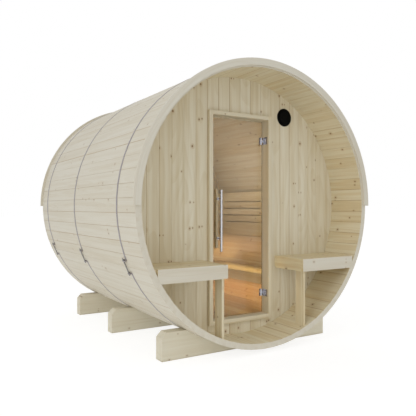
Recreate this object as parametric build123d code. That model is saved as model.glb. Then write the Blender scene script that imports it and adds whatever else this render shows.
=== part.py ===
from build123d import *
from math import cos, radians, sin, sqrt, tan
import os

# Barrel sauna: a lying barrel of straight wooden staves on three cradles, held by steel bands.
# Millimetres. The front faces -Y, the barrel's axis runs along Y, and the ground is at zero height.

# Coopered shell
barrel_radius = 1050.0
barrel_length = 2300.0
barrel_ground_clearance = 33.0
stave_thickness = 42.0
stave_count = 68
staves_per_panel = 4
stave_joint_gap = 0.4
stave_edge_bevel = 1.2
tongue_width = 18.0
tongue_height = 7.0
croze_depth = 9.0

# Common fits
seat_clearance = 0.3
cut_overrun = 20.0

# Arch boards on the stave ends
arch_thickness = 18.0
arch_overhang = 20.0
arch_setback = 11.0

# Cradles
cradle_length = 1526.0
cradle_height = 198.0
cradle_thickness = 90.0
cradle_corner_cut = 38.0
cradle_end_setback = 205.0
cradle_middle_offset = 41.0

# Steel bands and their tensioners
band_width = 20.0
band_thickness = 1.5
band_gap_to_cradle = 6.0
tensioner_angle = 23.7
tensioner_gap = 92.0
lug_thickness = 6.0
lug_height = 14.0
lug_reach = 37.0
rod_sides = 8
nut_sides = 6
tension_rod_radius = 4.0
tension_rod_overhang = 16.0
tension_nut_radius = 7.5
tension_nut_height = 6.5

# End walls of upright boards
wall_thickness = 42.0
porch_depth = 344.0
back_recess = 100.0
wall_board_width = 102.0
wall_board_gap = 0.4
wall_board_bevel = 1.2
narrowest_wall_board = 40.0

# Door frame
frame_width = 604.0
frame_face = 34.0
frame_head_face = 30.0
frame_depth = 89.0
frame_proud = 24.0
frame_floor_gap = 91.0
frame_crown_gap = 279.0
frame_edge_bevel = 2.0
stop_width = 28.0
stop_lap = 10.0
stop_thickness = 12.0

# Glass door
glass_thickness = 8.0
glass_setback = 76.0
glass_side_gap = 6.0
glass_hinge_side_gap = 9.0
glass_bottom_gap = 6.0
glass_top_gap = 6.0

# Hinges: a leaf on the jamb carries the pin, and a clamp grips the glass
hinge_pin_to_jamb = 14.0
hinge_height = 58.0
hinge_end_inset = 160.0
hinge_leaf_thickness = 3.0
hinge_leaf_front = 62.0
hinge_leaf_back = 6.0
hinge_pin_radius = 3.0
hinge_pin_play = 0.1
hinge_knuckle_radius = 6.0
hinge_knuckle_height = 19.0
hinge_knuckle_gap = 0.5
clamp_plate_thickness = 3.0
clamp_plate_width = 20.0
clamp_plate_edge = 11.0
clamp_bridge_width = 3.5
notch_gap = 1.0

# Door handles
handle_edge_inset = 86.0
handle_radius = 10.0
handle_length = 480.0
handle_rise = 519.0
handle_standoff = 46.0
handle_post_radius = 6.0
handle_post_inset = 101.0
handle_post_spacing = 310.0
handle_rose_radius = 11.0
handle_rose_height = 4.0
grip_width = 20.0
grip_depth = 24.0
grip_length = 460.0
grip_edge_radius = 6.0
grip_standoff = 10.0
grip_spacer_radius = 7.0

# Round air valve on the front wall
valve_angle = 58.6
valve_shell_gap = 141.5
valve_rim_radius = 74.0
valve_rim_thickness = 9.0
valve_rim_bevel = 4.0
valve_bore_radius = 55.0
valve_disc_radius = 62.0
valve_disc_thickness = 8.0
valve_disc_proud = 11.0
valve_disc_bevel = 3.0
valve_spindle_radius = 5.0
valve_bar_width = 14.0
valve_bar_thickness = 4.0

# Porch benches, one each side of the door
porch_bench_door_gap = 49.0
porch_bench_rise = 593.0
porch_bench_board_thickness = 20.0
porch_bench_board_count = 3
porch_bench_board_gap = 4.0
apron_thickness = 20.0
apron_height = 97.0
apron_corner_radius = 22.0
apron_end_gap = 24.0
porch_leg_thickness = 18.0
porch_leg_width = 90.0

# Bench and backrest inside, on the right-hand side
bench_depth = 352.5
bench_rise = 398.0
bench_board_thickness = 24.0
bench_board_count = 4
bench_board_gap = 10.0
bench_front_thickness = 20.0
bench_front_height = 90.0
bearer_thickness = 40.0
bearer_height = 60.0
backrest_shell_gap = 17.0
backrest_thickness = 20.0
backrest_rise = 294.0
backrest_low_board_height = 141.0
backrest_board_height = 66.0
backrest_top_board_height = 97.0
backrest_middle_board_count = 3
backrest_gap = 8.0
cleat_width = 45.0
cleat_end_inset = 160.0
cleat_count = 3

# Places that follow from the sizes above
stave_inner_radius = barrel_radius - stave_thickness
stave_pitch_angle = 360.0 / stave_count
stave_half_angle = stave_pitch_angle / 2
axis_height = barrel_radius + barrel_ground_clearance
front_end = -barrel_length / 2
back_end = barrel_length / 2
barrel_axis = Axis((0, 0, axis_height), (0, 1, 0))
bench_radius = stave_inner_radius - seat_clearance
wall_radius = stave_inner_radius + croze_depth - seat_clearance
front_wall_front = front_end + porch_depth
front_wall_back = front_wall_front + wall_thickness
back_wall_back = back_end - back_recess
back_wall_front = back_wall_back - wall_thickness
shell_floor = axis_height - stave_inner_radius
shell_crown = axis_height + stave_inner_radius
frame_half = frame_width / 2
frame_bottom_height = shell_floor + frame_floor_gap
frame_top_height = shell_crown - frame_crown_gap
frame_front = front_wall_front - frame_proud
frame_back = frame_front + frame_depth
clear_half = frame_half - frame_face
clear_bottom = frame_bottom_height + frame_face
clear_top = frame_top_height - frame_head_face
glass_front = frame_front + glass_setback
glass_back = glass_front + glass_thickness
glass_middle = (glass_front + glass_back) / 2
glass_left = -clear_half + glass_side_gap
glass_right = clear_half - glass_hinge_side_gap
glass_bottom = clear_bottom + glass_bottom_gap
glass_top = clear_top - glass_top_gap
hinge_pin_x = clear_half - hinge_pin_to_jamb
hinge_upper_height = glass_top - hinge_end_inset
hinge_lower_height = glass_bottom + hinge_end_inset
handle_x = glass_left + handle_edge_inset
handle_bottom_height = glass_bottom + handle_rise
valve_reach = stave_inner_radius - valve_shell_gap
valve_x = valve_reach * cos(radians(valve_angle))
valve_height = axis_height + valve_reach * sin(radians(valve_angle))
bench_top_height = shell_floor + bench_rise
bench_front_x = sqrt(stave_inner_radius**2 - (axis_height - bench_top_height) ** 2) - bench_depth
backrest_bottom_height = bench_top_height + backrest_rise
backrest_boards = [
    backrest_low_board_height,
    *[backrest_board_height] * backrest_middle_board_count,
    backrest_top_board_height,
]
backrest_height = sum(backrest_boards) + (len(backrest_boards) - 1) * backrest_gap
backrest_top_height = backrest_bottom_height + backrest_height
backrest_off_axis = max(abs(axis_height - backrest_bottom_height), abs(backrest_top_height - axis_height))
backrest_back = sqrt(stave_inner_radius**2 - backrest_off_axis**2) - backrest_shell_gap
backrest_front = backrest_back - backrest_thickness


def block(x_from, x_to, y_from, y_to, z_from, z_to):
    """Straight-sided block between two opposite corners."""
    low = (Align.MIN, Align.MIN, Align.MIN)
    return Pos(x_from, y_from, z_from) * Box(x_to - x_from, y_to - y_from, z_to - z_from, align=low)


def barrel_core(radius, y_from, y_to):
    """Round block on the barrel's axis."""
    low = (Align.CENTER, Align.CENTER, Align.MIN)
    return Pos(0, y_from, axis_height) * Rot(X=-90) * Cylinder(radius, y_to - y_from, align=low)


def stave_prism(apothem, y_from, y_to):
    """Block on the barrel's axis with one flat side to each stave."""
    outline = RegularPolygon(apothem, stave_count, major_radius=False, rotation=stave_half_angle)
    return Pos(0, y_to, axis_height) * Rot(X=90) * extrude(outline, y_to - y_from)


def upright(x, y, z_from, z_to, radius):
    """Round upright post."""
    low = (Align.CENTER, Align.CENTER, Align.MIN)
    return Pos(x, y, z_from) * Cylinder(radius, z_to - z_from, align=low)


def straight_out(x, z, y_from, y_to, radius):
    """Round block along Y."""
    low = (Align.CENTER, Align.CENTER, Align.MIN)
    return Pos(x, y_from, z) * Rot(X=-90) * Cylinder(radius, y_to - y_from, align=low)


def mirrored(shape):
    """The same piece on the other side of the barrel."""
    return mirror(shape, about=Plane.YZ)


def save(name, *shapes):
    """Write one node, with all its solids."""
    solids = [solid for shape in shapes for solid in shape.solids()]
    node = solids[0] if len(solids) == 1 else Compound(solids)
    export_step(node, os.path.join("parts", name + ".step"))


def stave_profile():
    """Cross-section of one stave: bevelled edges, a pointed tongue on one side and its groove opposite."""
    half = radians(stave_half_angle)
    edge_pull = stave_joint_gap / 2 / cos(half)
    outer = barrel_radius
    inner = stave_inner_radius
    middle = (inner + outer) / 2

    def edge_at(radius):
        return radius * tan(half) - edge_pull

    def from_edge(radius, out):
        return (edge_at(radius) + out * cos(half), radius - out * sin(half))

    def tongue_line(growth):
        root = tongue_width / 2 + growth
        tip = tongue_height + growth
        return [from_edge(middle - root, 0), from_edge(middle, tip), from_edge(middle + root, 0)]

    right = [
        (edge_at(inner) - stave_edge_bevel, inner),
        (edge_at(inner + stave_edge_bevel), inner + stave_edge_bevel),
        *tongue_line(0),
        (edge_at(outer - stave_edge_bevel), outer - stave_edge_bevel),
        (edge_at(outer) - stave_edge_bevel, outer),
    ]
    left = [
        (-edge_at(outer) + stave_edge_bevel, outer),
        (-edge_at(outer - stave_edge_bevel), outer - stave_edge_bevel),
        (-edge_at(inner + stave_edge_bevel), inner + stave_edge_bevel),
        (-edge_at(inner) + stave_edge_bevel, inner),
    ]
    groove = Polygon(*tongue_line(stave_joint_gap), align=None).rotate(Axis.Z, stave_pitch_angle)
    return Polygon(*right, *left, align=None) - groove


def make_staves():
    """Shell of straight staves, each with a croze groove for the front and the back wall."""
    stave = Pos(0, back_end, axis_height) * Rot(X=90) * extrude(stave_profile(), barrel_length)
    half_width = barrel_radius * tan(radians(stave_pitch_angle))
    croze_top = axis_height + stave_inner_radius + croze_depth
    for wall_front, wall_back in ((front_wall_front, front_wall_back), (back_wall_front, back_wall_back)):
        croze_front = wall_front - seat_clearance
        croze_back = wall_back + seat_clearance
        stave -= block(-half_width, half_width, croze_front, croze_back, axis_height, croze_top)
    for panel in range(stave_count // staves_per_panel):
        first = panel * staves_per_panel
        turns = [(first + step) * stave_pitch_angle for step in range(staves_per_panel)]
        save(f"stave_panel_{panel + 1:02d}", *[stave.rotate(barrel_axis, turn) for turn in turns])


def make_arch_board(name, y_from):
    """Half-ring board on the upper stave ends, proud of the shell and set back from its inner face."""
    outer = barrel_radius + arch_overhang
    inner = stave_inner_radius + arch_setback
    y_to = y_from + arch_thickness
    board = barrel_core(outer, y_from, y_to) - barrel_core(inner, y_from, y_to)
    below = block(-outer, outer, y_from, y_to, axis_height - outer, axis_height)
    save(name, board - below)


def make_cradle(name, y_from):
    """Cross timber under the barrel, with its seat cut to the shell and its top corners cut off."""
    half = cradle_length / 2
    outline = [
        (-half, 0),
        (half, 0),
        (half, cradle_height - cradle_corner_cut),
        (half - cradle_corner_cut, cradle_height),
        (-half + cradle_corner_cut, cradle_height),
        (-half, cradle_height - cradle_corner_cut),
    ]
    timber = Pos(0, y_from + cradle_thickness, 0) * Rot(X=90) * extrude(
        Polygon(*outline, align=None), cradle_thickness
    )
    seat = stave_prism(barrel_radius + seat_clearance, y_from, y_from + cradle_thickness)
    save(name, timber - seat)


def tensioner_place(side, y_middle):
    """Frame at a tensioner: X along the rim, Y to the rear, Z outwards; side is 1 on the right."""
    angle = radians(tensioner_angle)
    outward = Vector(side * cos(angle), 0, -sin(angle))
    to_rear = Vector(0, 1, 0)
    return Plane((0, y_middle, axis_height), x_dir=to_rear.cross(outward), z_dir=outward)


def make_band(name, cradle_back):
    """Two half bands with a lug at each end; the rods that draw them together are returned."""
    inner = barrel_radius + seat_clearance
    outer = inner + band_thickness
    y_from = cradle_back + band_gap_to_cradle
    y_to = y_from + band_width
    y_middle = (y_from + y_to) / 2
    gap_half = tensioner_gap / 2
    lug_low = barrel_radius - cut_overrun
    lug_top = outer + lug_height
    rod_out = lug_top - lug_height / 2
    rod_back = lug_reach - lug_height / 2
    rod_half = gap_half + lug_thickness + tension_rod_overhang
    hole = extrude(RegularPolygon(tension_rod_radius + seat_clearance, rod_sides), rod_half, both=True)
    inside = stave_prism(inner, y_from - lug_reach, y_to + lug_reach)
    band = stave_prism(outer, y_from, y_to)
    rods = []
    for side in (-1, 1):
        place = tensioner_place(side, y_middle)
        rod_place = place * Pos(0, rod_back, rod_out) * Rot(Y=90)
        band -= place * block(-gap_half, gap_half, -band_width, band_width, lug_low, lug_top)
        for near in (-gap_half - lug_thickness, gap_half):
            band += place * block(near, near + lug_thickness, -band_width / 2, lug_reach, lug_low, lug_top)
        band -= rod_place * hole
        rod = extrude(RegularPolygon(tension_rod_radius, rod_sides), rod_half, both=True)
        nut = extrude(RegularPolygon(tension_nut_radius, nut_sides), tension_nut_height)
        nut_from = gap_half + lug_thickness
        for start in (nut_from, -nut_from - tension_nut_height):
            rod += Pos(0, 0, start) * nut
        rods.append(rod_place * rod)
    save(name, band - inside)
    return rods


def wall_joints(x_from, x_to):
    """Edges of the wall boards between two sides, counted from the barrel's middle."""
    reach = int(max(abs(x_from), abs(x_to)) / wall_board_width) + 1
    places = [step * wall_board_width for step in range(-reach, reach + 1)]
    low = x_from + narrowest_wall_board
    high = x_to - narrowest_wall_board
    return [x_from] + [x for x in places if low < x < high] + [x_to]


def wall_boards(x_from, x_to, z_from, z_to, y_from):
    """Upright boards with bevelled edges, cut round where the wall meets the shell."""
    y_to = y_from + wall_thickness
    disc = stave_prism(wall_radius, y_from, y_to)
    joints = wall_joints(x_from, x_to)
    bevel = wall_board_bevel
    boards = []
    for left, right in zip(joints, joints[1:]):
        left = left + wall_board_gap / 2
        right = right - wall_board_gap / 2
        plan = [
            (left, y_from + bevel),
            (left + bevel, y_from),
            (right - bevel, y_from),
            (right, y_from + bevel),
            (right, y_to - bevel),
            (right - bevel, y_to),
            (left + bevel, y_to),
            (left, y_to - bevel),
        ]
        board = Pos(0, 0, z_from) * extrude(Polygon(*plan, align=None), z_to - z_from)
        boards.append(board & disc)
    return boards


def make_walls():
    """Front wall in four parts round the door, with the valve's hole, and a whole back wall."""
    low = axis_height - wall_radius
    high = axis_height + wall_radius
    valve_hole = straight_out(valve_x, valve_height, front_wall_front, front_wall_back, valve_bore_radius)
    for part, x_from, x_to, z_from, z_to in (
        ("left", -wall_radius, -frame_half, low, high),
        ("right", frame_half, wall_radius, low, high),
        ("over_door", -frame_half, frame_half, frame_top_height, high),
        ("under_door", -frame_half, frame_half, low, frame_bottom_height),
    ):
        boards = wall_boards(x_from, x_to, z_from, z_to, front_wall_front)
        save(f"front_wall_{part}", *[board - valve_hole for board in boards])
    save("back_wall", *wall_boards(-wall_radius, wall_radius, low, high, back_wall_front))


def make_door_frame():
    """Two jambs with the head and the sill between them, and stops on the back of the left jamb and head."""

    def eased(timber, axis):
        front = timber.edges().filter_by(axis).group_by(Axis.Y)[0]
        return chamfer(front, frame_edge_bevel)

    jamb = block(-frame_half, -clear_half, frame_front, frame_back, frame_bottom_height, frame_top_height)
    head = block(-clear_half, clear_half, frame_front, frame_back, clear_top, frame_top_height)
    sill = block(-clear_half, clear_half, frame_front, frame_back, frame_bottom_height, clear_bottom)
    left_jamb = eased(jamb, Axis.Z)
    save("door_jamb_left", left_jamb)
    save("door_jamb_right", mirrored(left_jamb))
    save("door_head", eased(head, Axis.X))
    save("door_sill", eased(sill, Axis.X))
    stop_back = frame_back + stop_thickness
    stop_inner = -clear_half + stop_lap
    stop_low = clear_top - stop_lap
    side_stop = block(stop_inner - stop_width, stop_inner, frame_back, stop_back, clear_bottom, stop_low)
    top_stop = block(
        stop_inner - stop_width, clear_half, frame_back, stop_back,
        stop_low + seat_clearance, stop_low + stop_width,
    )
    save("door_stops", side_stop, top_stop)


def make_glass():
    """Frameless pane, notched at its hinges."""
    pane = block(glass_left, glass_right, glass_front, glass_back, glass_bottom, glass_top)
    notch_x = hinge_pin_x - clamp_plate_edge
    notch_half = hinge_height / 2 + notch_gap
    for height in (hinge_upper_height, hinge_lower_height):
        notch_low = height - notch_half
        notch_high = height + notch_half
        pane -= block(notch_x, glass_right + cut_overrun, glass_front, glass_back, notch_low, notch_high)
    save("door_glass", pane)


def make_hinge(height):
    """Leaf and pin on the jamb, and the clamp that turns round the pin with the glass."""
    half = hinge_height / 2
    knuckle_half = hinge_knuckle_height / 2
    leaf_x = clear_half - hinge_leaf_thickness
    low = height - half
    high = height + half

    leaf_front = glass_middle - hinge_leaf_front
    leaf_back = glass_middle + hinge_leaf_back
    web_half = glass_thickness / 2
    knuckle_low = height - knuckle_half
    knuckle_high = height + knuckle_half
    bracket = block(leaf_x, clear_half, leaf_front, leaf_back, low, high)
    bracket += block(
        hinge_pin_x, leaf_x, glass_middle - web_half, glass_middle + web_half, knuckle_low, knuckle_high
    )
    bracket += upright(hinge_pin_x, glass_middle, knuckle_low, knuckle_high, hinge_knuckle_radius)
    bracket += upright(hinge_pin_x, glass_middle, low, high, hinge_pin_radius)

    plate_from = hinge_pin_x - clamp_plate_width
    plate_to = hinge_pin_x - clamp_plate_edge + clamp_bridge_width
    clamp = block(plate_from, plate_to, glass_front - clamp_plate_thickness, glass_front, low, high)
    clamp += block(plate_from, plate_to, glass_back, glass_back + clamp_plate_thickness, low, high)
    clamp += block(hinge_pin_x - clamp_plate_edge, plate_to, glass_front, glass_back, low, high)
    arm_from = height + knuckle_half + hinge_knuckle_gap
    for z_from, z_to in ((arm_from, high), (low, 2 * height - arm_from)):
        clamp += block(plate_to, hinge_pin_x, glass_front, glass_back, z_from, z_to)
        clamp += upright(hinge_pin_x, glass_middle, z_from, z_to, hinge_knuckle_radius)
    clamp -= upright(hinge_pin_x, glass_middle, low, high, hinge_pin_radius + hinge_pin_play)
    return bracket, clamp


def make_handles():
    """Steel bar on two posts outside, and a rounded wooden grip on two spacers inside."""
    bar_y = glass_front - handle_standoff
    low_post = handle_bottom_height + handle_post_inset
    bar = upright(handle_x, bar_y, handle_bottom_height, handle_bottom_height + handle_length, handle_radius)
    for height in (low_post, low_post + handle_post_spacing):
        bar += straight_out(handle_x, height, bar_y, glass_front, handle_post_radius)
        rose_front = glass_front - handle_rose_height
        bar += straight_out(handle_x, height, rose_front, glass_front, handle_rose_radius)
    save("door_handle", bar)
    grip_middle = low_post + handle_post_spacing / 2
    spacer_front = glass_back + seat_clearance
    grip_front = spacer_front + grip_standoff
    grip = block(
        handle_x - grip_width / 2, handle_x + grip_width / 2, grip_front, grip_front + grip_depth,
        grip_middle - grip_length / 2, grip_middle + grip_length / 2,
    )
    grip = fillet(grip.edges().filter_by(Axis.Z).group_by(Axis.Y)[-1], grip_edge_radius)
    for height in (low_post, low_post + handle_post_spacing):
        grip += straight_out(handle_x, height, spacer_front, grip_front, grip_spacer_radius)
    save("door_inner_grip", grip)


def make_valve():
    """Round valve: a bevelled rim with a bar across its bore, and a disc on a spindle through the bar."""
    rim_front = front_wall_front - valve_rim_thickness
    bar_front = front_wall_front - valve_bar_thickness
    bar_half = valve_bar_width / 2
    spindle_hole = valve_spindle_radius + seat_clearance
    rim = straight_out(valve_x, valve_height, rim_front, front_wall_front, valve_rim_radius)
    front_edge = rim.edges().filter_by(GeomType.CIRCLE).group_by(Axis.Y)[0]
    rim = chamfer(front_edge, valve_rim_bevel)
    rim -= straight_out(valve_x, valve_height, rim_front, front_wall_front, valve_bore_radius)
    rim += block(
        valve_x - valve_bore_radius - seat_clearance, valve_x + valve_bore_radius + seat_clearance,
        bar_front, front_wall_front, valve_height - bar_half, valve_height + bar_half,
    )
    rim -= straight_out(valve_x, valve_height, bar_front, front_wall_front, spindle_hole)

    disc_front = rim_front - valve_disc_proud
    disc_back = disc_front + valve_disc_thickness
    disc = straight_out(valve_x, valve_height, disc_front, disc_back, valve_disc_radius)
    disc = chamfer(disc.edges().filter_by(GeomType.CIRCLE).group_by(Axis.Y)[0], valve_disc_bevel)
    disc += straight_out(valve_x, valve_height, disc_back, front_wall_front, valve_spindle_radius)
    save("air_valve", rim, disc)


def make_porch_benches():
    """Bench each side of the door: boards between aprons and the shell, with one leg under the front."""
    inner_x = frame_half + porch_bench_door_gap
    top = shell_floor + porch_bench_rise
    board_low = top - porch_bench_board_thickness
    apron_low = top - apron_height
    apron_back = front_end + apron_thickness
    apron_inner = inner_x + apron_thickness
    core = stave_prism(bench_radius, front_end, front_wall_front)

    depth = front_wall_front - apron_back
    board_width = (depth - (porch_bench_board_count - 1) * porch_bench_board_gap) / porch_bench_board_count
    boards = []
    for step in range(porch_bench_board_count):
        board_front = apron_back + step * (board_width + porch_bench_board_gap)
        board = block(apron_inner, barrel_radius, board_front, board_front + board_width, board_low, top)
        boards.append(board & core)

    apron_end = sqrt(bench_radius**2 - (axis_height - top) ** 2) - apron_end_gap
    front_apron = block(inner_x, apron_end, front_end, apron_back, apron_low, top) & core
    end_apron = block(inner_x, apron_inner, apron_back + seat_clearance, front_wall_front, apron_low, top)
    rear_corner = end_apron.edges().filter_by(Axis.X).group_by(Axis.Z)[0].sort_by(Axis.Y)[-1]
    end_apron = fillet(rear_corner, apron_corner_radius)
    leg = block(
        apron_inner, apron_inner + porch_leg_thickness, apron_back, apron_back + porch_leg_width,
        axis_height - bench_radius, board_low,
    )
    leg = leg & core
    for side, place in (("right", lambda piece: piece), ("left", mirrored)):
        save(f"porch_bench_{side}_top", *[place(board) for board in boards])
        save(f"porch_bench_{side}_aprons", place(front_apron), place(end_apron))
        save(f"porch_bench_{side}_leg", place(leg))


def make_inner_bench():
    """Seat along the right-hand side between the end walls, and a backrest on upright cleats."""
    y_from = front_wall_back
    y_to = back_wall_front
    core = stave_prism(bench_radius, y_from, y_to)
    seat_low = bench_top_height - bench_board_thickness
    seat_front = bench_front_x + bench_front_thickness
    wall_x = sqrt(bench_radius**2 - (axis_height - seat_low) ** 2)
    width = (wall_x - seat_front - (bench_board_count - 1) * bench_board_gap) / bench_board_count
    boards = []
    for step in range(bench_board_count):
        board_x = seat_front + step * (width + bench_board_gap)
        boards.append(block(board_x, board_x + width, y_from, y_to, seat_low, bench_top_height) & core)
    save("inner_bench_seat", *boards)
    front_low = bench_top_height - bench_front_height
    save("inner_bench_front", block(bench_front_x, seat_front, y_from, y_to, front_low, bench_top_height))
    bearer_low = seat_low - bearer_height
    bearers = []
    for bearer_front in (y_from, y_to - bearer_thickness):
        bearer_back = bearer_front + bearer_thickness
        bearer = block(seat_front, barrel_radius, bearer_front, bearer_back, bearer_low, seat_low)
        bearers.append(bearer & core)
    save("inner_bench_bearers", *bearers)

    slats = []
    low = backrest_bottom_height
    for board_height in backrest_boards:
        slats.append(block(backrest_front, backrest_back, y_from, y_to, low, low + board_height))
        low += board_height + backrest_gap
    save("inner_backrest", *slats)
    first = y_from + cleat_end_inset
    spacing = (y_to - cleat_end_inset - cleat_width - first) / (cleat_count - 1)
    cleats = []
    for step in range(cleat_count):
        front = first + step * spacing
        back = front + cleat_width
        cleat = block(backrest_back, barrel_radius, front, back, backrest_bottom_height, backrest_top_height)
        cleats.append(cleat & core)
    save("inner_backrest_cleats", *cleats)


os.makedirs("parts", exist_ok=True)
make_staves()
make_arch_board("arch_board_front", front_end - arch_thickness)
make_arch_board("arch_board_back", back_end)
tension_rods = []
for where, cradle_front in (
    ("front", front_end + cradle_end_setback),
    ("middle", cradle_middle_offset - cradle_thickness / 2),
    ("back", back_end - cradle_end_setback - cradle_thickness),
):
    make_cradle(f"cradle_{where}", cradle_front)
    tension_rods += make_band(f"steel_band_{where}", cradle_front + cradle_thickness)
save("band_tension_rods", *tension_rods)
make_walls()
make_door_frame()
make_glass()
brackets, clamps = zip(make_hinge(hinge_upper_height), make_hinge(hinge_lower_height))
save("hinge_brackets", *brackets)
save("hinge_clamps", *clamps)
make_handles()
make_valve()
make_porch_benches()
make_inner_bench()
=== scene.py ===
import math

import bmesh
import bpy
from mathutils import Matrix, Vector


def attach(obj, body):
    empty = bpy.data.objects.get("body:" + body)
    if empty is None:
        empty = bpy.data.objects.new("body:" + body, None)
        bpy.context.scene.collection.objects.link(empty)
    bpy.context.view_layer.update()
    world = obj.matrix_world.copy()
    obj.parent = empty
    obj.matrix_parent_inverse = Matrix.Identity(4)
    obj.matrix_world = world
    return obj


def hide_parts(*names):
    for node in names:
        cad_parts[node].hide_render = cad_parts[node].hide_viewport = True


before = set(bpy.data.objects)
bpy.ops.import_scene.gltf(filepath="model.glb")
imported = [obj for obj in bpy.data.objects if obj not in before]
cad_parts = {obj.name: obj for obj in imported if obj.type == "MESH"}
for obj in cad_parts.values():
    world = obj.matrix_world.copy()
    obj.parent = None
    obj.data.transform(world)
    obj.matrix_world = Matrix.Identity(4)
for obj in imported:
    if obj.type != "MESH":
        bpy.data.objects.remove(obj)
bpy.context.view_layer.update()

# Cradles: three beams of planed spruce that stand on the ground, each hollowed to the barrel's curve.
# Their grain runs across the barrel, and the barrel lies in them by its own weight.
cradle_step = .9
beam_middle = .1
axis_height = 1.083
shell_inside = 1.02
shell_end = 1.1495
far_edge = .1
first_cradle = 101.0


class Value:
    """A number, colour or vector that changes over a surface. Sums on a number add Math nodes."""

    def __init__(self, finish, socket):
        self.finish = finish
        self.socket = socket

    def maths(self, operation, first, second=0.0):
        return self.finish.node("ShaderNodeMath", {"operation": operation}, {0: first, 1: second})

    def __add__(self, other):
        return self.maths("ADD", self, other)

    def __sub__(self, other):
        return self.maths("SUBTRACT", self, other)

    def __rsub__(self, other):
        return self.maths("SUBTRACT", other, self)

    def __mul__(self, other):
        return self.maths("MULTIPLY", self, other)

    def __truediv__(self, other):
        return self.maths("DIVIDE", self, other)

    def __rtruediv__(self, other):
        return self.maths("DIVIDE", other, self)

    def __mod__(self, other):
        return self.maths("FLOORED_MODULO", self, other)

    def __floordiv__(self, other):
        return self.maths("FLOOR", self / other)

    def __gt__(self, other):
        return self.maths("GREATER_THAN", self, other)

    def __lt__(self, other):
        return self.maths("LESS_THAN", self, other)

    def __abs__(self):
        return self.maths("ABSOLUTE", self)

    __radd__ = __add__
    __rmul__ = __mul__

    def rise(self, low, high):
        """Nought up to low, one from high on, and an easy slope between."""
        settings = {"interpolation_type": "SMOOTHSTEP"}
        sockets = {"Value": self, "From Min": low, "From Max": high}
        return self.finish.node("ShaderNodeMapRange", settings, sockets)

    def level(self, number):
        """The same number at every point."""
        return self * 0.0 + number

    def parts(self):
        """The three numbers in a vector or a colour."""
        split = self.finish.node("ShaderNodeSeparateXYZ", {}, {"Vector": self})
        return split, split.beside("Y"), split.beside("Z")

    def beside(self, output):
        """Another output of the node that gave this value."""
        return Value(self.finish, self.socket.node.outputs[output])


class Finish:
    """A material or a world, with the nodes that make it up."""

    def __init__(self, owner, fixed):
        owner.use_nodes = True
        self.owner = owner
        self.tree = owner.node_tree
        self.surface = self.tree.nodes.get("Principled BSDF") or self.tree.nodes.get("Background")
        self.feed(self.surface, fixed)

    def feed(self, node, sockets):
        for name, value in sockets.items():
            if isinstance(value, Value):
                self.tree.links.new(value.socket, node.inputs[name])
            else:
                node.inputs[name].default_value = value

    def node(self, kind, settings, sockets, output=0):
        """Adds a node: its settings first, then the values or links of its sockets."""
        node = self.tree.nodes.new(kind)
        for name, value in settings.items():
            setattr(node, name, value)
        self.feed(node, sockets)
        return Value(self, node.outputs[output])

    def vector(self, x, y, z):
        return self.node("ShaderNodeCombineXYZ", {}, {"X": x, "Y": y, "Z": z})

    def far(self, vector):
        return self.node("ShaderNodeVectorMath", {"operation": "LENGTH"}, {0: vector}, "Value")

    def noise(self, vector, detail):
        sockets = {"Vector": vector, "Scale": 1.0, "Detail": detail}
        return self.node("ShaderNodeTexNoise", {}, sockets, "Fac")

    def mix(self, share, first, second):
        return self.node("ShaderNodeMix", {"data_type": "RGBA"}, {0: share, 6: first, 7: second}, 2)

    def bumped(self, height, distance, strength):
        sockets = {"Height": height, "Distance": distance, "Strength": strength}
        return self.node("ShaderNodeBump", {}, sockets)

    def place(self):
        """Where a point lies on the object, in metres: it stays with the piece when the door turns."""
        return self.node("ShaderNodeTexCoord", {}, {}, "Object").parts()


# Pairs of early and late wood. golden, creamy and straw are warm shaded copies, painted shade for the light
# bounced around under the shell; silvery and fresh are the paler lit copies, painted light.
golden = (.80, .71, .485, 1), (.67, .52, .27, 1)
creamy = (.80, .745, .595, 1), (.665, .575, .39, 1)
straw = (.785, .725, .545, 1), (.655, .53, .31, 1)
silvery = (.735, .70, .60, 1), (.63, .56, .425, 1)
fresh = (.775, .735, .605, 1), (.665, .59, .43, 1)


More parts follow.
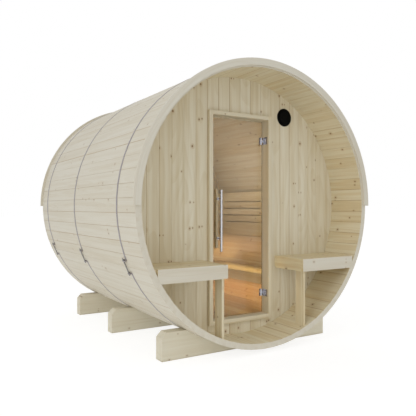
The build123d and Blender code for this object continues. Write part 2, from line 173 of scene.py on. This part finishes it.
def planed_spruce(name, lay, knots=.5, shaded_pair=golden, lit_pair=silvery):
    """Spruce with fine grain and small knots. lay gives a board's own length, width and depth, the distance
    to its nearest edge and its number, for any point of the piece. Each number has a grain of its own.
    knots is the share of places that have one. Each of the last two is a pair, the early and the late wood:
    lit_pair is a paler, greyer copy with softer figure, painted light for the outside, and shaded_pair a
    warmer, more saturated copy with stronger knots, painted shade for the warm light bounced around under
    the shell."""
    wood = Finish(bpy.data.materials.new(name), {"Specular IOR Level": .3})
    x, y, z = wood.place()
    along, across, depth, edge, board = lay(wood, x, y, z)
    from_axis = wood.far(wood.vector(x, 0.0, z - axis_height))
    inside = (from_axis < shell_inside) * (abs(y) < shell_end)
    chance = wood.node("ShaderNodeTexWhiteNoise", {"noise_dimensions": "1D"}, {"W": board}, "Color")
    tone, drift, heart = chance.parts()
    length = along + drift * 9.0

    knot_spread = .085
    knot_spacing = .25
    single_share = .6
    smallest_knot = .0034
    knot_growth = .0045
    second_smaller = .0014
    pair_gap = .016
    pair_slip = .014
    knot_stretch = .8
    spot = wood.vector(across / knot_spread + heart * 31.0, length / knot_spacing, 0.0)
    knot = wood.node(
        "ShaderNodeTexVoronoi", {"voronoi_dimensions": "2D"}, {"Vector": spot, "Scale": 1.0}, "Color"
    )
    luck, girth, twin = knot.parts()
    offset = wood.node(
        "ShaderNodeVectorMath", {"operation": "SUBTRACT"}, {0: spot, 1: knot.beside("Position")}, "Vector"
    )
    aside, ahead, _ = offset.parts()
    paired = twin > single_share
    second = (aside > 0.0) * paired
    aside = abs(aside) * knot_spread - paired * twin * pair_gap
    ahead = ahead * knot_spacing * knot_stretch - second * (girth - .3) * pair_slip
    knot_radius = smallest_knot + girth * knot_growth - second * second_smaller
    reach = wood.far(wood.vector(aside, ahead, 0.0)) / knot_radius
    present = luck > 1.0 - knots
    core = (1.0 - reach.rise(.5, 1.1)) * present
    halo = (1.0 - reach.rise(.8, 3.2)) * present

    ring_width = .0042
    sway = wood.noise(wood.vector(across * 2.5, depth * 2.5, length * .9), 2.0)
    from_pith = wood.vector(across - (heart - .5) * .12, depth + .04 + drift * .06, 0.0)
    year = (wood.far(from_pith) + sway * .04 + halo * .005) / ring_width % 1.0
    late = year.rise(.25, .9) - year.rise(.93, 1.0)
    streak = wood.noise(wood.vector(across * 36.0 + heart * 17.0, depth * 18.0, length * 1.2), 3.0)
    fibre = wood.noise(wood.vector(across * 700.0, depth * 700.0, length * 16.0), 2.0)

    knot_halo = (.48, .32, .15, 1)
    knot_heart = (.17, .085, .03, 1)
    joint_shade = (.46, .31, .15, 1)
    figure = late * .26 + streak.rise(.36, .66) * .46 + tone * .34 + fibre * .1 - .1
    # Painted light and painted shade: the lit copy outside the shell, the shaded copy inside it with
    # stronger knots.
    lit_copy = wood.mix(figure * .7, *lit_pair)
    shaded_copy = wood.mix(figure, *shaded_pair)
    colour = wood.mix(inside, lit_copy, shaded_copy)
    colour = wood.mix(halo * (inside * .25 + .2), colour, knot_halo)
    colour = wood.mix(core * (inside * .35 + .5), colour, knot_heart)
    # Painted shade along the joints between boards, strong on some boards and faint on others.
    joint = (1.0 - edge.rise(.0006, .0042)) * (drift.rise(.35, .85) * .78 + .06)
    colour = wood.mix(joint, colour, joint_shade)
    wood.feed(wood.surface, {
        "Base Color": colour,
        "Roughness": streak * .16 + fibre * .12 + .46,
        "Normal": wood.bumped(late * .5 + fibre * .5 - core * .4, .0005, .35),
    })
    return wood.owner


def finish_nodes(material, *names):
    """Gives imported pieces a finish."""
    for name in names:
        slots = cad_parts[name].material_slots
        for slot in slots:
            slot.material = material


def beam_lay(wood, x, y, z):
    beam = (y / cradle_step + .5) // 1.0
    return x, z - beam_middle, y - beam * cradle_step, x.level(far_edge), beam + first_cradle


cradle_spruce = planed_spruce("cradle_spruce", beam_lay, lit_pair=fresh)
finish_nodes(cradle_spruce, "cradle_front", "cradle_middle", "cradle_back")

# Staves: sixty-eight planed spruce boards side by side make the round shell. Pointed tongues and grooves
# key them together, and a small bevel along each edge leaves a fine line at every joint, darkened by painted
# shade except on the ends and inside the room.
stave_turn = math.radians(360 / 68)
stave_width = .097
stave_middle_radius = 1.029
room_front = -.78
inner_face_depth = -.01
room_joint_fade = .05
first_stave = 200.0


def stave_lay(wood, x, y, z):
    rise = z - axis_height
    turn = x.maths("ARCTAN2", x, rise) / stave_turn
    stave = (turn + .5) // 1.0
    across = (turn - stave) * stave_width
    depth = wood.far(wood.vector(x, rise, 0.0)) - stave_middle_radius
    between_ends = abs(y) < shell_end
    in_room = (y > room_front) * (depth < inner_face_depth)
    faded = 1.0 - between_ends + in_room * room_joint_fade
    edge = stave_width / 2 - abs(across) + faded * stave_width
    return y, across, depth, edge, stave * between_ends + first_stave


stave_spruce = planed_spruce("stave_spruce", stave_lay, .3, straw)
finish_nodes(stave_spruce, *[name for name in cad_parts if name.startswith("stave_panel")])

# End walls: upright planed spruce boards, tongued together with bevelled edges. They stand in grooves cut
# round the inside of the staves, and the front wall is open where the door goes.
wall_board = .102
wall_spacing = 1.8
first_wall_board = 300.0
back_wall_boards = 50.0


def wall_lay(wood, x, y, z):
    board = x // wall_board
    across = x - (board + .5) * wall_board
    at_back = y > 0.0
    number = board + at_back * back_wall_boards + first_wall_board
    return z, across, y - at_back * wall_spacing, wall_board / 2 - abs(across), number


wall_spruce = planed_spruce("wall_spruce", wall_lay, .5, creamy)
finish_nodes(
    wall_spruce,
    "front_wall_left", "front_wall_right", "front_wall_over_door", "front_wall_under_door", "back_wall",
)

# Bands: three hoops of galvanised steel strip, each in two halves. Threaded rods through lugs at the sides
# draw the halves together, so that the staves stay tight as they dry.
band_middles = (-.839, .102, .961)
tensioner_drop = math.radians(23.7)
rod_from_axis = 1.0588
rod_behind_band = .03
rod_half = .068
rod_radius = .004
thread_root = .0034
thread_pitch = .00125
thread_sides = 14
tip_bevel = .0006
nut_start = .052
nut_height = .0065
nut_radius = .0075
nut_sides = 6
nut_bevel = .0006
nut_shoulder = nut_radius * .9
washer_radius = .0078
washer_height = .0012
washer_sides = 28
smooth_under = math.radians(30)


def hoop_steel(name, pale):
    """Rolled steel strip: fine lines along the rim, and the soft bloom of zinc."""
    steel = Finish(bpy.data.materials.new(name), {"Metallic": 1.0})
    x, y, z = steel.place()
    turn = x.maths("ARCTAN2", x, z - axis_height)
    lines = steel.noise(steel.vector(y * 1400.0, turn * 9.0, 0.0), 2.0)
    bloom = steel.noise(steel.vector(x * 60.0, y * 60.0, z * 60.0), 3.0)
    dark = tuple(part * .72 for part in pale[:3]) + (1,)
    steel.feed(steel.surface, {
        "Base Color": steel.mix(lines * .5 + bloom.rise(.4, .65) * .4, pale, dark),
        "Roughness": bloom * .2 + lines * .1 + .3,
        "Normal": steel.bumped(lines, .0001, .3),
    })
    return steel.owner


def point_ring(mesh, spans, height, place):
    """Adds a ring of points, each at its own span from the middle."""
    ring = []
    for step, span in enumerate(spans):
        angle = math.tau * step / len(spans)
        point = Vector((span * math.cos(angle), span * math.sin(angle), height))
        ring.append(mesh.verts.new(place @ point))
    return ring


def joined(mesh, rings):
    """Adds the faces between rings of points, and closes the last ring."""
    for lower, upper in zip(rings, rings[1:]):
        for step in range(len(lower)):
            nxt = (step + 1) % len(lower)
            mesh.faces.new((lower[step], lower[nxt], upper[nxt], upper[step]))
    mesh.faces.new(rings[-1])


def turned(mesh, profile, sides, place):
    """Adds a turned piece to a mesh: profile is its radius and height from end to end."""
    rings = [point_ring(mesh, [radius] * sides, height, place) for radius, height in profile]
    joined(mesh, rings)
    mesh.faces.new(rings[0][::-1])


def threaded_rod(mesh, place):
    """Adds a rod with one screw thread from end to end, closed by a flat at each end."""
    turns = int(2 * rod_half / thread_pitch) - 1
    count = turns * thread_sides
    roots = []
    crests = []
    for step in range(count + 1):
        angle = math.tau * step / thread_sides
        across = Vector((math.cos(angle), math.sin(angle), 0))
        height = thread_pitch * step / thread_sides - rod_half + thread_pitch / 2
        root = across * thread_root + Vector((0, 0, height))
        crest = across * rod_radius + Vector((0, 0, height + thread_pitch / 2))
        roots.append(mesh.verts.new(place @ root))
        crests.append(mesh.verts.new(place @ crest))
    for step in range(count):
        mesh.faces.new((roots[step], roots[step + 1], crests[step + 1], crests[step]))
        above = step + thread_sides
        if above < count:
            mesh.faces.new((crests[step], crests[step + 1], roots[above + 1], roots[above]))
    point = (thread_root, -thread_pitch), (thread_root, -tip_bevel), (thread_root - tip_bevel, 0)
    for tip in (-1, 1):
        end = place @ Matrix.Translation((0, 0, tip * rod_half)) @ Matrix.Scale(tip, 4, (0, 0, 1))
        turned(mesh, point, thread_sides, end)


def finished_piece(name, mesh, material):
    """Turns a mesh into a piece of the scene, with faces that meet at a low angle shaded as one."""
    bmesh.ops.recalc_face_normals(mesh, faces=mesh.faces)
    data = bpy.data.meshes.new(name)
    mesh.to_mesh(data)
    mesh.free()
    data.shade_smooth()
    data.set_sharp_from_angle(angle=smooth_under)
    data.materials.append(material)
    piece = bpy.data.objects.new(name, data)
    bpy.context.scene.collection.objects.link(piece)
    return piece


band_steel = hoop_steel("band_steel", (.39, .358, .366, 1))
finish_nodes(band_steel, "steel_band_front", "steel_band_middle", "steel_band_back")
rods = bmesh.new()
for band_middle in band_middles:
    for side in (-1, 1):
        outward = Vector((side * math.cos(tensioner_drop), 0, -math.sin(tensioner_drop)))
        to_rear = Vector((0, 1, 0))
        rim = to_rear.cross(outward)
        seat = Vector((0, band_middle, axis_height)) + outward * rod_from_axis + to_rear * rod_behind_band
        rod_place = Matrix.Translation(seat) @ Matrix((to_rear, outward, rim)).transposed().to_4x4()
        threaded_rod(rods, rod_place)
        for tip in (-1, 1):
            end = rod_place @ Matrix.Scale(tip, 4, (0, 0, 1))
            washer_top = nut_start + washer_height
            washer = ((washer_radius, nut_start), (washer_radius, washer_top))
            turned(rods, washer, washer_sides, end)
            nut_top = nut_start + nut_height
            nut = (
                (nut_shoulder, washer_top),
                (nut_radius, washer_top + nut_bevel),
                (nut_radius, nut_top - nut_bevel),
                (nut_shoulder, nut_top),
                (rod_radius, nut_top),
            )
            turned(rods, nut, nut_sides, end)
rod_piece = finished_piece("tension_rods", rods, hoop_steel("rod_steel", (.42, .41, .40, 1)))
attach(rod_piece, "cabin")
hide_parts("band_tension_rods")

# Arch boards: a half ring of thin spruce laths, bent and glued, over the stave ends at front and back. It
# stands a little proud of the shell to shed the rain, and a little back from its inner face.
arch_middle_radius = 1.0445
arch_depth_step = .1
front_arch = 400.0
back_arch = 20.0


def arch_lay(wood, x, y, z):
    rise = z - axis_height
    turn = x.maths("ARCTAN2", x, rise)
    across = wood.far(wood.vector(x, rise, 0.0)) - arch_middle_radius
    number = (y > 0.0) * back_arch + front_arch
    return turn * arch_middle_radius, across, y % arch_depth_step, x.level(far_edge), number


finish_nodes(planed_spruce("arch_spruce", arch_lay, .3), "arch_board_front", "arch_board_back")

# Door frame: planed spruce jambs, head and sill fitted in the front wall, standing proud of it on both
# sides. Thin stops on the back of the left jamb and the head meet the edge of the glass.
frame_middle = .285
frame_depth_middle = -.7855
frame_head_middle = 1.797
frame_sill_middle = .183
frame_waist = 1.0
left_jamb = 501.0
sill_number = 505.0


def upright_lay(wood, x, y, z):
    on_right = x > 0.0
    across = abs(x) - frame_middle
    return z, across, y - frame_depth_middle, x.level(far_edge), on_right + left_jamb


def level_lay(wood, x, y, z):
    on_top = z > frame_waist
    across = z - frame_sill_middle - on_top * (frame_head_middle - frame_sill_middle)
    return x, across, y - frame_depth_middle, x.level(far_edge), on_top + sill_number


jamb_spruce = planed_spruce("jamb_spruce", upright_lay, 0.0, creamy)
finish_nodes(jamb_spruce, "door_jamb_left", "door_jamb_right", "door_stops")
head_spruce = planed_spruce("head_spruce", level_lay, .2, creamy)
finish_nodes(head_spruce, "door_head", "door_sill")

# Glass door: one pane of toughened glass with a faint bronze tint. It swings on two clamp hinges at the
# right jamb, and it carries a steel pull bar outside and a wooden grip inside.
pane = Finish(bpy.data.materials.new("door_glass"), {
    "Transmission Weight": 1.0, "IOR": 1.3, "Base Color": (.95, .92, .885, 1),
})
x, y, z = pane.place()
wiped = pane.noise(pane.vector(x * 9.0, 0.0, z * 3.0), 3.0)
rolled = pane.noise(pane.vector(x * 1.6, y, z * 1.1), 1.0)
pane.feed(pane.surface, {
    "Roughness": wiped.rise(.55, .8) * .03,
    "Normal": pane.bumped(rolled, .002, .012),
})
finish_nodes(pane.owner, "door_glass")


def brushed_steel(name, pale):
    """Stainless steel brushed along its height."""
    steel = Finish(bpy.data.materials.new(name), {"Metallic": 1.0})
    x, y, z = steel.place()
    lines = steel.noise(steel.vector(x * 1600.0, y * 1600.0, z * 22.0), 2.0)
    touched = steel.noise(steel.vector(x * 45.0, y * 45.0, z * 30.0), 2.0)
    dark = tuple(part * .8 for part in pale[:3]) + (1,)
    steel.feed(steel.surface, {
        "Base Color": steel.mix(lines, pale, dark),
        "Roughness": lines * .12 + touched.rise(.45, .7) * .1 + .16,
        "Normal": steel.bumped(lines, .0001, .25),
    })
    return steel.owner


door_steel = brushed_steel("door_steel", (.68, .68, .72, 1))
finish_nodes(door_steel, "hinge_brackets", "hinge_clamps", "door_handle")


grip_middle = -.176
grip_depth_middle = -.724
grip_number = 520.0


def grip_lay(wood, x, y, z):
    return z, x - grip_middle, y - grip_depth_middle, x.level(far_edge), x.level(grip_number)


finish_nodes(planed_spruce("grip_spruce", grip_lay, .1), "door_inner_grip")

hinge_middles = (1.616, .366)
leaf_face = .265
leaf_screw_front = -.795
leaf_screw_rise = .0185
screw_radius = .0046
screw_crown = screw_radius * .8
screw_foot = -.0004
screw_rim = .0006
screw_top = .0012
screw_sides = 24
socket_radius = .0024
socket_floor = -.0002


def socket_screw(mesh, place):
    """Adds a low round screw head with a six-sided socket in it."""
    half_side = math.pi / 6
    socket = []
    for step in range(screw_sides):
        from_flat = (math.tau * step / screw_sides + half_side) % (2 * half_side) - half_side
        socket.append(socket_radius * math.cos(half_side) / math.cos(from_flat))
    profile = (
        ([screw_radius] * screw_sides, screw_foot),
        ([screw_radius] * screw_sides, screw_rim),
        ([screw_crown] * screw_sides, screw_top),
        (socket, screw_top),
        (socket, socket_floor),
    )
    rings = [point_ring(mesh, spans, height, place) for spans, height in profile]
    joined(mesh, rings)


screws = bmesh.new()
for hinge_middle in hinge_middles:
    for step in (-1, 1):
        head = Vector((leaf_face, leaf_screw_front, hinge_middle + step * leaf_screw_rise))
        socket_screw(screws, Matrix.Translation(head) @ Matrix.Rotation(-math.pi / 2, 4, "Y"))
screw_piece = finished_piece("hinge_screws", screws, hoop_steel("screw_steel", (.16, .16, .17, 1)))
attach(screw_piece, "cabin")

# Air valve: a round black disc that screws in and out of a flat rim, moulded in plastic and set through
# the front wall beside the door head.
valve = Finish(bpy.data.materials.new("valve_black"), {"Specular IOR Level": .06})
x, y, z = valve.place()
speckle = valve.noise(valve.vector(x * 900.0, y * 900.0, z * 900.0), 2.0)
dust = valve.noise(valve.vector(x * 25.0, y * 25.0, z * 25.0), 3.0)
valve.feed(valve.surface, {
    "Base Color": valve.mix(dust.rise(.4, .8), (.0015, .0015, .0015, 1), (.003, .003, .0026, 1)),
    "Roughness": speckle * .2 + .5,
    "Normal": valve.bumped(speckle, .0002, .3),
})
finish_nodes(valve.owner, "air_valve")

# Porch benches: one each side of the door, three boards between the shell and a pair of aprons, with a
# flat leg under the front corner. The boards run across the barrel and the aprons stand on edge.
porch_front = -1.13
porch_board_step = .109333
porch_board_width = .105333
porch_board_middle = .658
apron_middle = .6195
end_apron_side = .361
leg_depth_middle = -1.085
leg_side = .38
right_bench = 10.0
first_porch_board = 600.0
front_apron = 630.0
end_apron = 3.0
left_leg = 661.0


def porch_board_lay(wood, x, y, z):
    board = (y - porch_front) // porch_board_step
    across = y - porch_front - board * porch_board_step - porch_board_width / 2
    number = board + (x > 0.0) * right_bench + first_porch_board
    return x, across, z - porch_board_middle, x.level(far_edge), number


def apron_lay(wood, x, y, z):
    on_end = y > porch_front
    along = x + on_end * (y - x)
    depth = (y - porch_front) * (1.0 - on_end) + on_end * (abs(x) - end_apron_side)
    number = on_end * end_apron + (x > 0.0) * right_bench + front_apron
    return along, z - apron_middle, depth, x.level(far_edge), number


def leg_lay(wood, x, y, z):
    number = (x > 0.0) * right_bench + left_leg
    return z, y - leg_depth_middle, abs(x) - leg_side, x.level(far_edge), number


porch_seat_spruce = planed_spruce("porch_seat_spruce", porch_board_lay, .5, straw)
finish_nodes(porch_seat_spruce, "porch_bench_left_top", "porch_bench_right_top")
apron_spruce = planed_spruce("apron_spruce", apron_lay)
finish_nodes(apron_spruce, "porch_bench_left_aprons", "porch_bench_right_aprons")
leg_spruce = planed_spruce("leg_spruce", leg_lay, .5, straw)
finish_nodes(leg_spruce, "porch_bench_left_leg", "porch_bench_right_leg")

# Inner bench: four long boards behind a front board, on bearers screwed to the end walls, and a backrest
# of five boards on upright cleats. All of it is planed spruce along the right-hand side of the room.
seat_front = .47
seat_board_step = .0925
seat_middle = .461
first_seat_board = 700.0
second_slat_low = .912
slat_step = .074
slat_middle = .45
backrest_middle = .93
first_slat = 720.0
bearer_middle = .4
bearer_step = .05
front_bearer = 740.0
back_bearer = 3.0
cleat_middle = .95
cleat_step = .2
cleat_start = -2.0
first_cleat = 760.0


def seat_lay(wood, x, y, z):
    board = (x - seat_front) // seat_board_step
    across = x - seat_front - (board + .5) * seat_board_step
    return y, across, z - seat_middle, x.level(far_edge), board + first_seat_board


def slat_lay(wood, x, y, z):
    slat = (z - second_slat_low) // slat_step
    slat = slat.maths("MINIMUM", slat.maths("MAXIMUM", slat, -1.0), 3.0)
    across = z - second_slat_low - (slat + slat_middle) * slat_step
    return y, across, x - backrest_middle, x.level(far_edge), slat + first_slat


def bearer_lay(wood, x, y, z):
    number = (y > 0.0) * back_bearer + front_bearer
    return x, z - bearer_middle, y % bearer_step, x.level(far_edge), number


def cleat_lay(wood, x, y, z):
    number = (y - cleat_start) // cleat_step + first_cleat
    return z, y % cleat_step, x - cleat_middle, x.level(far_edge), number


finish_nodes(planed_spruce("seat_spruce", seat_lay), "inner_bench_seat", "inner_bench_front")
finish_nodes(planed_spruce("slat_spruce", slat_lay), "inner_backrest")
finish_nodes(planed_spruce("bearer_spruce", bearer_lay), "inner_bench_bearers")
finish_nodes(planed_spruce("cleat_spruce", cleat_lay), "inner_backrest_cleats")

# Room light: warm strips out of sight under the backrest, over the seat and behind the bench front, and
# soft lamps on the left-hand side, as a bather would have them on. Some of the glow falls on the jamb.


def lamp(name, colour, power, width, depth, at, towards, spread=180):
    """A soft lamp that lights the scene and isn't seen itself."""
    data = bpy.data.lights.new(name, "AREA")
    data.shape = "RECTANGLE"
    data.color = colour
    data.energy = power
    data.size = width
    data.size_y = depth
    data.spread = math.radians(spread)
    piece = bpy.data.objects.new(name, data)
    piece.location = at
    piece.rotation_euler = (Vector(towards) - Vector(at)).to_track_quat("-Z", "Y").to_euler()
    piece.visible_camera = False
    piece.visible_glossy = False
    piece.visible_transmission = False
    bpy.context.scene.collection.objects.link(piece)


amber = (1.0, .46, .15)
lamp("backrest_strip", amber, .20, 1.0, .04, (.80, .45, .76), (.90, .45, .62), 130)
lamp("corner_strip", (1.0, .70, .40), .17, .5, .04, (.68, .72, .58), (.86, .72, .57), 115)
lamp("bench_strip", amber, .73, 1.6, .06, (.53, .12, .40), (.50, .12, .1))
lamp("seat_strip", (1.0, .72, .36), .70, 1.1, .06, (.59, -.1, .96), (.56, -.1, .473), 48)
lamp("foot_strip", (1.0, .74, .48), .40, 1.2, .06, (-.5, -.15, .44), (.45, -.15, .33), 30)
lamp("wall_lamp", (1.0, .94, .91), 2.3, 1.2, .4, (-.62, .12, 1.32), (.9, .12, 1.50), 90)
lamp("back_lamp", (1.0, .94, .91), .48, 1.2, .3, (-.5, .12, .5), (.92, .12, 1.25), 50)
lamp("door_glow", (1.0, .52, .1), .15, .05, 1.4, (-.1, -.79, 1.0), (.268, -.79, 1.0), 90)

# Studio: a pale floor under a white sky, a broad lamp from the left, a low one into the porch, a small one
# between the benches and a glow from the floor. Floor and sky are seen as white, also in metal and glass,
# and they light the object at a plain level.
floor_half = 60
floor_colour = (.86, .86, .85, 1)
floor_white = 1.28
floor_white_share = .62
sky_light = .66
sky_seen = .34


def seen_by(finish):
    """One where the camera sees a surface, straight or by way of metal or glass."""
    straight = finish.node("ShaderNodeLightPath", {}, {}, "Is Camera Ray")
    mirrored = straight.beside("Is Glossy Ray")
    through = straight.beside("Is Transmission Ray")
    return straight.maths("MAXIMUM", straight, straight.maths("MAXIMUM", mirrored, through))


floor_mesh = bmesh.new()
bmesh.ops.create_grid(floor_mesh, x_segments=8, y_segments=8, size=floor_half)
studio_floor = Finish(bpy.data.materials.new("floor_white"), {"Base Color": floor_colour, "Roughness": .9})
white = studio_floor.node("ShaderNodeEmission", {}, {"Color": (1, 1, 1, 1), "Strength": floor_white})
white_share = seen_by(studio_floor) * floor_white_share
shown = studio_floor.node("ShaderNodeMixShader", {}, {0: white_share, 2: white})
studio_floor.tree.links.new(studio_floor.surface.outputs[0], shown.socket.node.inputs[1])
studio_floor.feed(studio_floor.tree.nodes["Material Output"], {"Surface": shown})
floor_piece = finished_piece("floor", floor_mesh, studio_floor.owner)

bpy.context.scene.world = bpy.data.worlds.new("studio_sky")
sky = Finish(bpy.context.scene.world, {"Color": (1, 1, 1, 1)})
sky.feed(sky.surface, {"Strength": seen_by(sky) * sky_seen + sky_light})
lamp("key", (1, .985, .96), 92.0, 5.0, 5.0, (-6.8, -3.4, 4.8), (0, 0, 1))
lamp("porch_fill", (1, .985, .95), 16.0, 4.0, 1.6, (-.6, -6.9, .45), (0, -.8, .6))
lamp("porch_bounce", (1, .95, .86), .24, .6, .1, (0, -1.08, .5), (0, -.80, .22))
lamp("floor_glow", (1, 1, 1), 22.0, 6.0, 6.0, (-.7, .1, .004), (-.7, .1, 1))

view = bpy.data.cameras.new("camera")
view.lens = 43.497
view.sensor_width = 36.0
camera = bpy.data.objects.new("camera", view)
camera.location = (-2.3291, -4.0517, 1.0664)
camera.rotation_euler = (math.radians(90 - .036), 0, math.radians(-31.996))
bpy.context.scene.collection.objects.link(camera)
bpy.context.scene.camera = camera
bpy.context.scene.view_settings.view_transform = "Standard"
